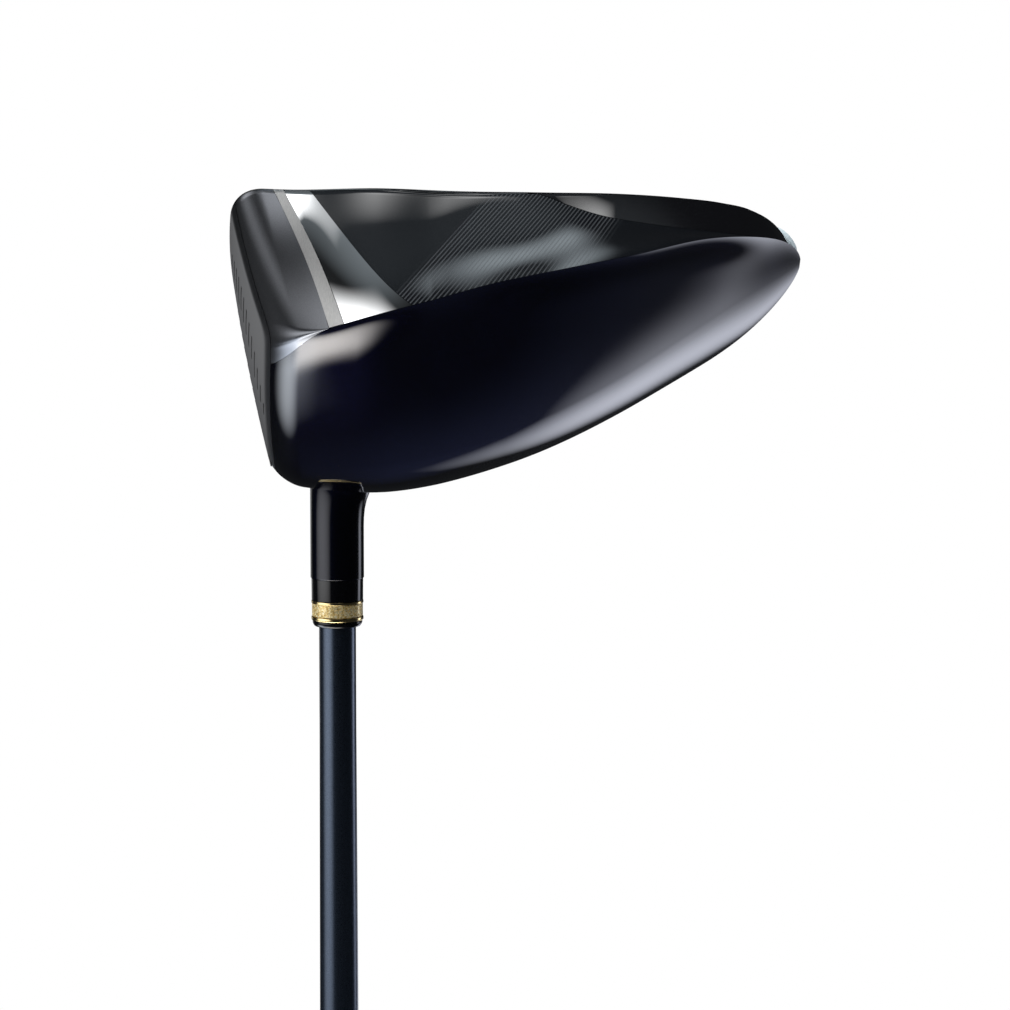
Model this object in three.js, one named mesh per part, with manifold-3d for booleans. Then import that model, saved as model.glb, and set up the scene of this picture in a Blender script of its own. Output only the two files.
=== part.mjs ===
// Golf driver, right handed, held upside down by the grip: the shaft runs straight up +Z from the
// butt of the grip at the origin, the face looks towards -X and the toe towards -Y. Millimetres.
import * as THREE from 'three';
import { mergeVertices } from 'three/addons/utils/BufferGeometryUtils.js';
import Module from 'manifold-3d';

const wasm = await Module();
wasm.setup();

// Club
const CLUB_LENGTH = 1162;            // butt end to the point where the shaft axis meets the ground plane
const LIE = THREE.MathUtils.degToRad(59.5);
const LOFT = THREE.MathUtils.degToRad(12);
const BULGE_RADIUS = 340;
const ROLL_RADIUS = 420;
const GAP = 0.3;                     // running clearance kept between neighbouring pieces

// Head, in head axes: u from heel to toe, t forwards to the target, h up from the ground plane
const LEADING_EDGE = 21.8;
const TRAILING_EDGE = -102.8;
const WIDEST_STATION = -22;
const HALF_WIDTH = 62.5;
const MIDDLE_U = 45.5;
const FACE_CENTRE = { u: 48, h: 28, t: 17.1 };
const EDGE_DEPTH = 8;                // rounding between the face and the rest of the head
const EDGE_INSET = 5.8;
const WALL = 1.0;
const FACE_WALL = 2.4;
const HEEL_SWELL = 5.5;              // outward fullness of the heel around the hosel tube
const CROWN_POWER_TOE = 2.3;
const CROWN_POWER_HEEL = 1.75;

// Heights and widths at stations along t, each entry [t, value]
const CROWN_HEIGHT = [[-102.8, 7.6], [-99, 10], [-94, 12.9], [-81, 21.2], [-64, 32.2], [-46, 41.6], [-28, 47.9],
  [-10, 51.7], [8, 52.2], [21, 51.8]];
const TOE_RIDGE = [[-102.8, 7.6], [-92, 14.5], [-80, 21], [-66, 28.6], [-52, 34.1], [-37, 38.7], [-20, 43.4],
  [-6, 46], [8, 47.3], [21, 46.5]];
const HEEL_RIDGE = [[-102.8, 7.6], [-92, 10.6], [-80, 12.9], [-66, 15], [-52, 17.2], [-37, 19.4], [-20, 21.1],
  [-6, 22.7], [8, 23.8], [21, 24.8]];
const SOLE_TOE_EDGE = [[-102.8, 54], [-97, 66], [-91, 71], [-85, 73.5], [-76, 75.3], [-63, 77], [-46, 78], [-30, 79],
  [-12, 80.3], [8, 79.5], [21, 80.8]];
const SOLE_HEEL_EDGE = [[-102.8, 54], [-97, 44], [-91, 36], [-85, 30], [-76, 23], [-63, 15], [-46, 7], [-30, 1],
  [-12, -2], [8, 3], [21, 13]];
const SOLE_EDGE_HEIGHT = [[-102.8, 7.6], [-97, 4.8], [-91, 3.3], [-85, 3], [-30, 3], [21, 3]];
const SOLE_HEIGHT = [[-102.8, 7.6], [-97, 4.5], [-91, 2.5], [-85, 1.5], [-76, 0.8], [-63, 0.3], [-46, 0], [-12, 0],
  [8, 0.3], [21, 1]];
const CREASE = [[-94, 0.02], [-91, 0.05], [-81, 0.3], [-70, 0.58], [-59, 0.78], [-43, 1], [21, 1]];

// Toe and heel trim lines: station of each line at the crown ridge and at the sole edge
const STRIP_FRONT = [-2.7, 11];
const STRIP_REAR = [-5.8, 8.7];
const INLAY_REAR = [-19.7, 3];
const STRIP_BOW = 0.9;
const SKIN_END = -100.8;             // sole and skirt skins stop here, under the trailing lip of the crown
const RIDGE_MARGIN = 1.6;            // the edge of the crown stays exposed above the skirts
const SOLE_MARGIN = 1.1;             // and the edge of the sole below them
const RIDGE_MITRE = 1.2;             // inner edge of a skirt steps back under the crown
const TRIM_WIDTH = 0.9;

// Hosel and ferrule, distances along the shaft axis from the ground plane
const HOSEL_TOP = 55;
const HOSEL_RADIUS = 6.15;
const HOSEL_BORE = 4.75;
const HOSEL_BOTTOM = 12;
const FERRULE_RADIUS = 5.92;
const SHAFT_TIP = 18;
const TIP_RADIUS = 4.25;
const TIP_BORE = 2.6;
const BUTT_RADIUS = 7.6;
const BUTT_BORE = 6.7;
const GRIP_LENGTH = 268;

// Rear weight: its axis leans back from straight down; its outer face is centred on WEIGHT_PLACE
const WEIGHT_RADIUS = 3.8;
const WEIGHT_PLACE = { u: 54, t: -99.3, h: 2.3 };
const WEIGHT_TILT = THREE.MathUtils.degToRad(47);
const PORT_RADIUS = 4.9;
const SCREW_RADIUS = 1.5;
const SCREW_LENGTH = 7;

// ---------------------------------------------------------------- helpers

function profile(stations, t) {
  const n = stations.length;
  const x = THREE.MathUtils.clamp(t, stations[0][0], stations[n - 1][0]);
  let i = 0;
  while (i < n - 2 && x > stations[i + 1][0]) i += 1;
  const slope = (k) => (stations[k + 1][1] - stations[k][1]) / (stations[k + 1][0] - stations[k][0]);
  const tangent = (k) => {
    if (k === 0) return slope(0);
    if (k === n - 1) return slope(n - 2);
    const after = stations[k + 1][0] - stations[k][0];
    const before = stations[k][0] - stations[k - 1][0];
    return (slope(k - 1) * after + slope(k) * before) / (after + before);
  };
  const span = stations[i + 1][0] - stations[i][0];
  const s = (x - stations[i][0]) / span;
  return stations[i][1] * (1 + 2 * s) * (1 - s) ** 2 + tangent(i) * span * s * (1 - s) ** 2
    + stations[i + 1][1] * s * s * (3 - 2 * s) + tangent(i + 1) * span * s * s * (s - 1);
}

function faceStation(u, h) {
  return FACE_CENTRE.t - (h - FACE_CENTRE.h) * Math.tan(LOFT)
    - (u - FACE_CENTRE.u) ** 2 / (2 * BULGE_RADIUS) - (h - FACE_CENTRE.h) ** 2 / (2 * ROLL_RADIUS);
}

function planAt(t) {
  const behind = Math.max(0, (WIDEST_STATION - t) / (WIDEST_STATION - TRAILING_EDGE));
  const ahead = Math.max(0, (t - WIDEST_STATION) / 71);
  const width = HALF_WIDTH * Math.max(0, 1 - behind ** 2.1) ** 0.6 * Math.sqrt(1 - ahead * ahead);
  return { width, middle: MIDDLE_U + 8.5 * behind ** 1.5 + 2 * ahead };
}

// Depth by which the toe skirt is hollowed between the crown ridge and the sole edge
function hollow(t, s) {
  const crease = profile(CREASE, t);
  const rear = THREE.MathUtils.smoothstep(-t, 40, 62);
  const front = 2.6 * THREE.MathUtils.smoothstep(-t, -6, 26) * (1 - 0.35 * rear);
  const valley = 2.8 * rear * crease;
  if (s <= crease) {
    const w = s / crease;
    return (1 - rear) * front * Math.sin(Math.PI * w) + valley * Math.sin(Math.PI * w / 2) ** 2;
  }
  return valley * (1 - (s - crease) / (1 - crease));
}

// Outline of the head at one station, before the front is wrapped onto the face
function sectionPoint(t, part, s) {
  const { width, middle } = planAt(t);
  const toe = { u: middle + width, h: profile(TOE_RIDGE, t) };
  const heel = { u: middle - width, h: profile(HEEL_RIDGE, t) };
  const top = profile(CROWN_HEIGHT, t);
  const edge = profile(SOLE_EDGE_HEIGHT, t);
  const floor = profile(SOLE_HEIGHT, t);
  let u;
  let h;
  if (part === 'crown') {
    const c = Math.cos(Math.PI * s);
    const ridge = heel.h + (toe.h - heel.h) * (c + 1) / 2;
    u = middle + width * c;
    h = ridge + (top - ridge) * (1 - Math.abs(c) ** (c < 0 ? CROWN_POWER_HEEL : CROWN_POWER_TOE));
  } else if (part === 'sole') {
    const from = profile(SOLE_TOE_EDGE, t);
    const to = profile(SOLE_HEEL_EDGE, t);
    u = from + (to - from) * s;
    h = edge + (floor - edge) * (1 - (2 * s - 1) ** 2);
  } else {
    const ridge = part === 'toe' ? toe : heel;
    const foot = profile(part === 'toe' ? SOLE_TOE_EDGE : SOLE_HEEL_EDGE, t);
    const du = foot - ridge.u;
    const dh = edge - ridge.h;
    const size = Math.max(1, Math.hypot(du, dh));
    const swell = HEEL_SWELL * THREE.MathUtils.smoothstep(t, -55, -12) * Math.sin(Math.PI * s);
    const depth = part === 'toe' ? hollow(t, s) : 0.5 * hollow(t, s) * THREE.MathUtils.smoothstep(-t, 20, 60) - swell;
    const side = part === 'toe' ? 1 : -1;
    u = ridge.u + du * s + side * depth * dh / size;
    h = ridge.h + dh * s - side * depth * du / size;
  }
  const near = THREE.MathUtils.clamp((EDGE_DEPTH - (LEADING_EDGE - t)) / EDGE_DEPTH, 0, 1);
  const inset = EDGE_INSET * (1 - Math.sqrt(1 - near * near));
  const centre = (top + floor) / 2;
  return {
    u: middle + (u - middle) * (1 - inset / Math.max(width, 20)),
    h: centre + (h - centre) * (1 - inset / Math.max((top - floor) / 2, 10)),
  };
}

// Point of the head's outer surface in head axes (u, t, h)
function headPoint(t, part, s) {
  const { u, h } = sectionPoint(t, part, s);
  const wrap = THREE.MathUtils.clamp(1 - (LEADING_EDGE - t) / 60, 0, 1) ** 1.5;
  return new THREE.Vector3(u, t + wrap * (faceStation(u, h) - LEADING_EDGE), h);
}

// Nominal station whose surface point lies at the given distance forwards
function stationFor(part, s, wanted) {
  let low = TRAILING_EDGE;
  let high = LEADING_EDGE;
  for (let i = 0; i < 30; i += 1) {
    const mid = (low + high) / 2;
    if (headPoint(mid, part, s).y < wanted) low = mid;
    else high = mid;
  }
  return (low + high) / 2;
}

// Trim line crossing a skirt from its ridge end to its sole end, bowed slightly backwards
function stripLine(part, w, [ridgeEnd, soleEnd], bow = STRIP_BOW) {
  const wanted = ridgeEnd + (soleEnd - ridgeEnd) * w - bow * Math.sin(Math.PI * w);
  return stationFor(part, w, wanted);
}

const HEAD_TO_CLUB = new THREE.Matrix4().set(
  0, -1, 0, 0,
  -Math.sin(LIE), 0, -Math.cos(LIE), 0,
  Math.cos(LIE), 0, -Math.sin(LIE), CLUB_LENGTH,
  0, 0, 0, 1,
);

function inClub(geometry) {
  const placed = geometry.clone().applyMatrix4(HEAD_TO_CLUB);
  return placed;
}

// Indexed geometry whose faces look outwards
function outward(points, index) {
  let volume = 0;
  for (let i = 0; i < index.length; i += 3) {
    const [a, b, c] = [points[index[i]], points[index[i + 1]], points[index[i + 2]]];
    volume += a.dot(b.clone().cross(c));
  }
  if (volume < 0) index.reverse();
  const geometry = new THREE.BufferGeometry().setFromPoints(points);
  geometry.setIndex(index);
  return geometry;
}

// Closed solid from two matching grids of points, rows by columns
function slab(outer, inner) {
  const rows = outer.length;
  const cols = outer[0].length;
  const points = [...outer.flat(), ...inner.flat()];
  const offset = rows * cols;
  const index = [];
  const quad = (a, b, c, d) => index.push(a, b, c, a, c, d);
  const wrap = cols - 1;
  for (let i = 0; i < rows - 1; i += 1) {
    for (let j = 0; j < wrap; j += 1) {
      const k = j + 1;
      quad(i * cols + j, (i + 1) * cols + j, (i + 1) * cols + k, i * cols + k);
      quad(offset + i * cols + k, offset + (i + 1) * cols + k, offset + (i + 1) * cols + j, offset + i * cols + j);
    }
  }
  for (let j = 0; j < wrap; j += 1) {
    const k = j + 1;
    const last = (rows - 1) * cols;
    quad(j, k, offset + k, offset + j);
    quad(last + k, last + j, offset + last + j, offset + last + k);
  }
  for (let i = 0; i < rows - 1; i += 1) {
    const a = i * cols;
    const b = (i + 1) * cols;
    quad(b, a, offset + a, offset + b);
    quad(a + cols - 1, b + cols - 1, offset + b + cols - 1, offset + a + cols - 1);
  }
  return outward(points, index);
}

// Outward normal of the head surface at one place
function headNormal(t, part, s) {
  const dt = 0.4;
  const ds = 0.004;
  const along = headPoint(Math.min(t + dt, LEADING_EDGE - 0.01), part, s).sub(headPoint(t - dt, part, s));
  const across = headPoint(t, part, Math.min(1, s + ds)).sub(headPoint(t, part, Math.max(0, s - ds)));
  const normal = part === 'sole' || part === 'toe' || part === 'crown' ? along.cross(across) : across.cross(along);
  return (part === 'sole' || part === 'toe' ? normal.negate() : normal).normalize();
}

function skirtLength(t, part) {
  const a = sectionPoint(t, part, 0);
  const b = sectionPoint(t, part, 1);
  return Math.hypot(b.u - a.u, b.h - a.h);
}

// Girth fraction that lies a distance below the crown ridge, or above the sole edge
const belowRidge = (part, mm) => (t) => Math.min(0.45, mm / skirtLength(t, part));
const aboveSole = (part, mm) => (t) => Math.max(0.55, 1 - mm / skirtLength(t, part));

// Thick patch of the head surface; ends may vary with girth and sides with station
function headPatch({ part, from, to, s0 = 0, s1 = 1, rows, cols, wall = WALL, sink = 0, mitre = 0 }) {
  const value = (v, x) => (typeof v === 'function' ? v(x) : v);
  const outer = [];
  const inner = [];
  for (let j = 0; j <= cols; j += 1) {
    const w = j / cols;
    const a = value(from, w);
    const b = value(to, w);
    const outerLine = [];
    const innerLine = [];
    for (let i = 0; i <= rows; i += 1) {
      const t = a + (b - a) * i / rows;
      const s = value(s0, t) + (value(s1, t) - value(s0, t)) * w;
      const p = headPoint(t, part, s);
      const n = headNormal(t, part, s);
      outerLine.push(p.clone().addScaledVector(n, -sink));
      const under = mitre === 0 ? s : s + (1 - w) * mitre / skirtLength(t, part);
      const q = headPoint(t, part, under);
      innerLine.push(q.addScaledVector(headNormal(t, part, under), -sink - wall));
    }
    outer.push(outerLine);
    inner.push(innerLine);
  }
  return slab(outer, inner);
}

function toManifold(geometry) {
  const bare = geometry.clone();
  bare.deleteAttribute('normal');
  bare.deleteAttribute('uv');
  const welded = mergeVertices(bare, 1e-4);
  const vertProperties = new Float32Array(welded.attributes.position.array);
  const triVerts = new Uint32Array(welded.index.array);
  return new wasm.Manifold(new wasm.Mesh({ numProp: 3, vertProperties, triVerts }));
}

function toGeometry(solid) {
  const mesh = solid.getMesh();
  const geometry = new THREE.BufferGeometry();
  const positions = new Float32Array(mesh.numVert * 3);
  for (let i = 0; i < mesh.numVert; i += 1) {
    for (let k = 0; k < 3; k += 1) positions[i * 3 + k] = mesh.vertProperties[i * mesh.numProp + k];
  }
  geometry.setAttribute('position', new THREE.BufferAttribute(positions, 3));
  geometry.setIndex(new THREE.BufferAttribute(new Uint32Array(mesh.triVerts), 1));
  return geometry;
}

// Signed area of an outline of [radius, height] pairs
function turning(outline) {
  let area = 0;
  outline.forEach(([r, z], i) => {
    const [nextR, nextZ] = outline[(i + 1) % outline.length];
    area += r * nextZ - nextR * z;
  });
  return area;
}

function lathe(outline, segments) {
  const ordered = turning(outline) > 0 ? outline : [...outline].reverse();
  const geometry = new THREE.LatheGeometry(ordered.map(([r, z]) => new THREE.Vector2(r, z)), segments);
  geometry.rotateX(Math.PI / 2);
  return geometry;
}

const root = new THREE.Group();
root.name = 'golf_driver';

function add(name, geometry, colour, { metalness = 0.1, roughness = 0.4 } = {}) {
  const material = new THREE.MeshStandardMaterial({ color: colour, metalness, roughness });
  const mesh = new THREE.Mesh(geometry, material);
  mesh.name = name;
  root.add(mesh);
  return mesh;
}

const CUP_RIM = LEADING_EDGE - 6;
const AROUND_FACE = [];
for (let i = 0; i < 18; i += 1) AROUND_FACE.push(['crown', i / 18]);
for (let i = 0; i < 6; i += 1) AROUND_FACE.push(['heel', i / 6]);
for (let i = 0; i < 10; i += 1) AROUND_FACE.push(['sole', 1 - i / 10]);
for (let i = 0; i < 6; i += 1) AROUND_FACE.push(['toe', 1 - i / 6]);

// Dish with a filled middle: rings run from the middle outwards
function dish(outerMiddle, outerRings, innerMiddle, innerRings) {
  const count = outerRings[0].length;
  const points = [outerMiddle, ...outerRings.flat(), innerMiddle, ...innerRings.flat()];
  const inner = 1 + outerRings.length * count;
  const index = [];
  const strip = (a, b) => {
    for (let j = 0; j < count; j += 1) {
      const k = (j + 1) % count;
      index.push(a + j, b + j, b + k, a + j, b + k, a + k);
    }
  };
  for (let j = 0; j < count; j += 1) {
    const k = (j + 1) % count;
    index.push(0, 1 + j, 1 + k);
    index.push(inner, inner + 1 + k, inner + 1 + j);
  }
  for (let r = 0; r < outerRings.length - 1; r += 1) strip(1 + r * count, 1 + (r + 1) * count);
  strip(1 + (outerRings.length - 1) * count, inner + 1 + (innerRings.length - 1) * count);
  for (let r = innerRings.length - 1; r > 0; r -= 1) strip(inner + 1 + r * count, inner + 1 + (r - 1) * count);
  return outward(points, index);
}

function faceCup() {
  const middle = new THREE.Vector3(FACE_CENTRE.u, faceStation(FACE_CENTRE.u, FACE_CENTRE.h), FACE_CENTRE.h);
  const tilt = new THREE.Vector3(0, Math.cos(LOFT), Math.sin(LOFT));
  const outerRings = [];
  const innerRings = [];
  for (const share of [0.45, 0.8]) {
    const ring = AROUND_FACE.map(([part, s]) => {
      const edge = headPoint(LEADING_EDGE, part, s);
      const u = middle.x + (edge.x - middle.x) * share;
      const h = middle.z + (edge.z - middle.z) * share;
      return new THREE.Vector3(u, faceStation(u, h), h);
    });
    outerRings.push(ring);
    innerRings.push(ring.map((p) => p.clone().addScaledVector(tilt, -FACE_WALL)));
  }
  for (const depth of [0, 0.5, 1.6, 3.4, 6]) {
    const share = depth / 6;
    const ring = AROUND_FACE.map(([part, s]) => headPoint(LEADING_EDGE - depth, part, s));
    const inside = ring.map((p, i) => {
      const inward = middle.clone().sub(p).setY(0).normalize();
      const sunk = FACE_WALL * (1 - share) + 0.2 * share;
      return p.clone().addScaledVector(inward, 1.5).addScaledVector(tilt, -sunk);
    });
    outerRings.push(ring);
    innerRings.push(inside);
  }
  return dish(middle, outerRings, middle.clone().addScaledVector(tilt, -FACE_WALL), innerRings);
}

// ---------------------------------------------------------------- hosel, ferrule, shaft and grip

const atAxis = (distance) => CLUB_LENGTH - distance;

// Ring or tube about the shaft axis from a closed outline of [radius, distance from the ground plane]
function turned(outline, segments = 32) {
  return lathe(outline.map(([r, distance]) => [r, atAxis(distance)]), segments);
}

const hoselOutside = [[HOSEL_RADIUS, HOSEL_TOP - 0.25], [HOSEL_RADIUS, 41], [6.5, 38.5], [7.3, 36], [8.4, 33.5],
  [9.3, 31], [9.7, 28.5], [9.4, 25.5], [8.4, 22.5], [7, 20], [6.3, 18], [6.3, HOSEL_BOTTOM]];

function grown(outline, by) {
  return outline.map(([r, d]) => [r + by, d]);
}

const openingTop = [...grown(hoselOutside, GAP + 0.1)];
const hoselOpening = toManifold(turned([[0, HOSEL_TOP + 5], ...openingTop, [6.7, HOSEL_BOTTOM - 3],
  [0, HOSEL_BOTTOM - 3]]));

function largest(solid) {
  const parts = solid.decompose();
  return parts.reduce((best, one) => (one.volume() > best.volume() ? one : best));
}

const hosel = turned([[HOSEL_BORE, HOSEL_TOP - 0.25], ...hoselOutside, [HOSEL_BORE, HOSEL_BOTTOM],
  [HOSEL_BORE, HOSEL_TOP - 0.25]]);

// ---------------------------------------------------------------- rear weight

const weightAxis = new THREE.Vector3(0, -Math.sin(WEIGHT_TILT), -Math.cos(WEIGHT_TILT));
const weightFrame = new THREE.Matrix4().makeBasis(
  new THREE.Vector3(1, 0, 0),
  weightAxis.clone().cross(new THREE.Vector3(1, 0, 0)),
  weightAxis,
).setPosition(WEIGHT_PLACE.u, WEIGHT_PLACE.t, WEIGHT_PLACE.h);

// Turned piece of the rear weight; heights are measured outwards from the outer face of the port
function weightPiece(outline, segments = 24) {
  return lathe(outline, segments).applyMatrix4(weightFrame);
}

const PORT_FLOOR = -4.2;
const port = weightPiece([[1.8, PORT_FLOOR], [WEIGHT_RADIUS + GAP, PORT_FLOOR], [WEIGHT_RADIUS + GAP, -0.2],
  [PORT_RADIUS - 0.4, -0.2], [PORT_RADIUS, -0.7], [PORT_RADIUS, PORT_FLOOR - 2], [1.8, PORT_FLOOR - 2],
  [1.8, PORT_FLOOR]]);
const weight = weightPiece([[1.8, PORT_FLOOR + GAP], [WEIGHT_RADIUS, PORT_FLOOR + GAP], [WEIGHT_RADIUS, 0.1],
  [3.5, 0.55], [2.9, 0.8], [2.5, 0.85], [2.5, -1.1], [1.8, -1.1], [1.8, PORT_FLOOR + GAP]]);
const screwBlank = weightPiece([[0, 0.6], [2.0, 0.6], [2.2, 0.4], [2.2, -0.8], [SCREW_RADIUS, -0.8],
  [SCREW_RADIUS, 0.6 - SCREW_LENGTH], [0, 0.6 - SCREW_LENGTH]]);
const screwSocket = new THREE.CylinderGeometry(1.15, 1.15, 1.2, 6).rotateX(Math.PI / 2).translate(0, 0, 0.6)
  .applyMatrix4(weightFrame);
const portOpening = toManifold(weightPiece([[0, 6], [PORT_RADIUS + GAP, 6], [PORT_RADIUS + GAP, -8], [0, -8]]));
const crownBand = toManifold(headPatch({
  part: 'crown', from: -60, to: TRAILING_EDGE + 0.4, rows: 16, cols: 20, sink: -4, wall: 4 + WALL + GAP,
}));

// ---------------------------------------------------------------- skins of the head

const crownSkin = headPatch({ part: 'crown', from: CUP_RIM - GAP, to: TRAILING_EDGE + 0.4, rows: 22, cols: 20 });
const soleSkin = headPatch({ part: 'sole', from: CUP_RIM - GAP, to: SKIN_END, rows: 18, cols: 8 });
const lowerEdge = (part) => aboveSole(part, SOLE_MARGIN + TRIM_WIDTH + GAP);
const creaseLine = (shift) => (t) => profile(CREASE, t) + shift / skirtLength(t, 'toe');
const panelFoot = (part) => (t) => Math.min(lowerEdge(part)(t), creaseLine(-GAP)(t));
const railHead = (t) => Math.max(belowRidge('toe', RIDGE_MARGIN)(t), creaseLine(GAP)(t));
const shifted = (line, by) => line.map((t) => t + by);

const skirts = {
  toe_return: {
    part: 'toe', from: CUP_RIM - GAP, to: (w) => stripLine('toe', w, STRIP_FRONT), rows: 5, cols: 8,
    mitre: RIDGE_MITRE, s0: belowRidge('toe', RIDGE_MARGIN), s1: aboveSole('toe', SOLE_MARGIN),
  },
  toe_strip: {
    part: 'toe', rows: 2, cols: 10,
    from: (w) => stripLine('toe', w, shifted(STRIP_FRONT, -GAP)), to: (w) => stripLine('toe', w, STRIP_REAR),
    mitre: RIDGE_MITRE, s0: belowRidge('toe', RIDGE_MARGIN), s1: aboveSole('toe', SOLE_MARGIN),
  },
  toe_inlay: {
    part: 'toe', rows: 6, cols: 10,
    from: (w) => stripLine('toe', w, shifted(STRIP_REAR, -GAP)), to: (w) => stripLine('toe', w, INLAY_REAR, 0),
    mitre: RIDGE_MITRE, s0: belowRidge('toe', RIDGE_MARGIN), s1: lowerEdge('toe'),
  },
  toe_panel: {
    part: 'toe', rows: 16, cols: 7,
    from: (w) => stripLine('toe', w, shifted(INLAY_REAR, -GAP), 0), to: -86,
    mitre: RIDGE_MITRE, s0: belowRidge('toe', RIDGE_MARGIN), s1: panelFoot('toe'),
  },
  toe_trim: {
    part: 'toe', rows: 14, cols: 1,
    from: (w) => stripLine('toe', 0.97 + 0 * w, shifted(STRIP_REAR, -GAP), 0), to: -47,
    s0: aboveSole('toe', SOLE_MARGIN + TRIM_WIDTH), s1: aboveSole('toe', SOLE_MARGIN),
  },
  toe_rail: {
    part: 'toe', rows: 16, cols: 5, from: -54, to: SKIN_END,
    s0: railHead, s1: aboveSole('toe', SOLE_MARGIN),
  },
  heel_return: {
    part: 'heel', from: CUP_RIM - GAP, to: -30, rows: 10, cols: 8,
    mitre: RIDGE_MITRE, s0: belowRidge('heel', RIDGE_MARGIN + 0.6), s1: aboveSole('heel', SOLE_MARGIN),
  },
  heel_panel: {
    part: 'heel', from: -30 - GAP, to: SKIN_END, rows: 16, cols: 8,
    mitre: RIDGE_MITRE, s0: belowRidge('heel', RIDGE_MARGIN + 0.6), s1: aboveSole('heel', SOLE_MARGIN),
  },
};

const underCrown = toManifold(headPatch({
  part: 'crown', from: CUP_RIM - GAP, to: TRAILING_EDGE + 0.4, rows: 22, cols: 20, sink: -0.3, wall: WALL + GAP + 0.3,
}));

function addSkirt(name, colour, finish) {
  const skin = toManifold(headPatch(skirts[name])).subtract(underCrown);
  const placed = toManifold(inClub(toGeometry(skin))).subtract(hoselOpening);
  add(name, toGeometry(largest(placed)), colour, finish);
}

const satin = { metalness: 0.8, roughness: 0.35 };
const gloss = { metalness: 0.2, roughness: 0.1 };
const mirror = { metalness: 1, roughness: 0.03 };

add('crown_shell', toGeometry(largest(toManifold(inClub(crownSkin)).subtract(hoselOpening))), 0x0b0d18, gloss);
add('face_cup', inClub(faceCup()), 0x3a3b3e, satin);
addSkirt('toe_return', 0x45464a, satin);
addSkirt('toe_strip', 0xa9abad, { metalness: 1, roughness: 0.4 });
addSkirt('toe_inlay', 0xd8d9da, mirror);
addSkirt('toe_panel', 0x101216, gloss);
addSkirt('toe_trim', 0x050506, gloss);
addSkirt('toe_rail', 0x20242b, gloss);

const soleCut = toManifold(soleSkin).subtract(portOpening);
add('sole_plate', toGeometry(largest(toManifold(inClub(toGeometry(soleCut))).subtract(hoselOpening))), 0x17181c, gloss);

addSkirt('heel_return', 0x45464a, satin);
addSkirt('heel_panel', 0x101216, gloss);

add('hosel', hosel, 0x0b0d18, gloss);
add('weight_port', inClub(toGeometry(largest(toManifold(port).subtract(crownBand)))), 0x2a2b2f, satin);
add('rear_weight', inClub(weight), 0x9fb4bc, { metalness: 0.3, roughness: 0.25 });
add('weight_screw', inClub(toGeometry(toManifold(screwBlank).subtract(toManifold(screwSocket)))), 0xb9bcc0, mirror);

// ---------------------------------------------------------------- inside the head

const padOuter = [];
const padInner = [];
for (let i = 0; i <= 8; i += 1) {
  const front = [];
  const back = [];
  for (let j = 0; j <= 4; j += 1) {
    const u = 22 + 52 * i / 8;
    const h = 17 + 21 * j / 4;
    const onFace = new THREE.Vector3(u, faceStation(u, h), h);
    front.push(onFace.clone().add(new THREE.Vector3(0, -FACE_WALL - 0.4, 0)));
    back.push(onFace.clone().add(new THREE.Vector3(0, -FACE_WALL - 1.6, 0)));
  }
  padOuter.push(front);
  padInner.push(back);
}
add('face_pad', inClub(slab(padOuter, padInner)), 0x77797d, satin);

const rib = { rows: 1, cols: 10, sink: WALL + GAP };
add('sole_rib_front', inClub(headPatch({ part: 'sole', from: -18, to: -20, s0: 0.16, s1: 0.84, wall: 4, ...rib })),
  0x77797d, satin);
add('sole_rib_rear', inClub(headPatch({ part: 'sole', from: -56, to: -58, s0: 0.12, s1: 0.88, wall: 4, ...rib })),
  0x77797d, satin);
add('crown_rib', inClub(headPatch({ part: 'crown', from: -30, to: -32, s0: 0.14, s1: 0.8, wall: 3, ...rib })),
  0x77797d, satin);

// ---------------------------------------------------------------- ferrule

const FERRULE_BORE = TIP_RADIUS + GAP;

function collar(name, low, high, radius, colour, finish, lip = 0.12) {
  const outline = [[FERRULE_BORE, low], [radius - lip, low], [radius, low + lip], [radius, high - lip],
    [radius - lip, high], [FERRULE_BORE, high], [FERRULE_BORE, low]];
  add(name, turned(outline), colour, finish);
}

const gold = { metalness: 1, roughness: 0.15 };
collar('ferrule_body', 55.1, 59.95, FERRULE_RADIUS, 0x08090c, gloss);
collar('ferrule_rim_upper', 60.25, 60.8, FERRULE_RADIUS + 0.05, 0xc9a04e, gold, 0.15);
collar('ferrule_band', 61.1, 63.6, FERRULE_RADIUS - 0.08, 0xb8934a, { metalness: 1, roughness: 0.5 });
collar('ferrule_rim_lower', 63.9, 64.7, FERRULE_RADIUS + 0.05, 0xc9a04e, gold, 0.2);
add('ferrule_end', turned([[FERRULE_BORE, 65], [5.75, 65], [5.7, 65.35], [5.45, 65.85], [5.0, 66.2], [FERRULE_BORE, 66.3],
  [FERRULE_BORE, 65]]), 0x08090c, gloss);

// ---------------------------------------------------------------- shaft and grip

const TAPER_START = 90;
const SHAFT_BUTT = 4.4;
const taperEnd = CLUB_LENGTH - SHAFT_BUTT;

function shaftRadius(distance) {
  const f = THREE.MathUtils.clamp((distance - TAPER_START) / (taperEnd - TAPER_START), 0, 1);
  return TIP_RADIUS + (BUTT_RADIUS - TIP_RADIUS) * f;
}

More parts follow.
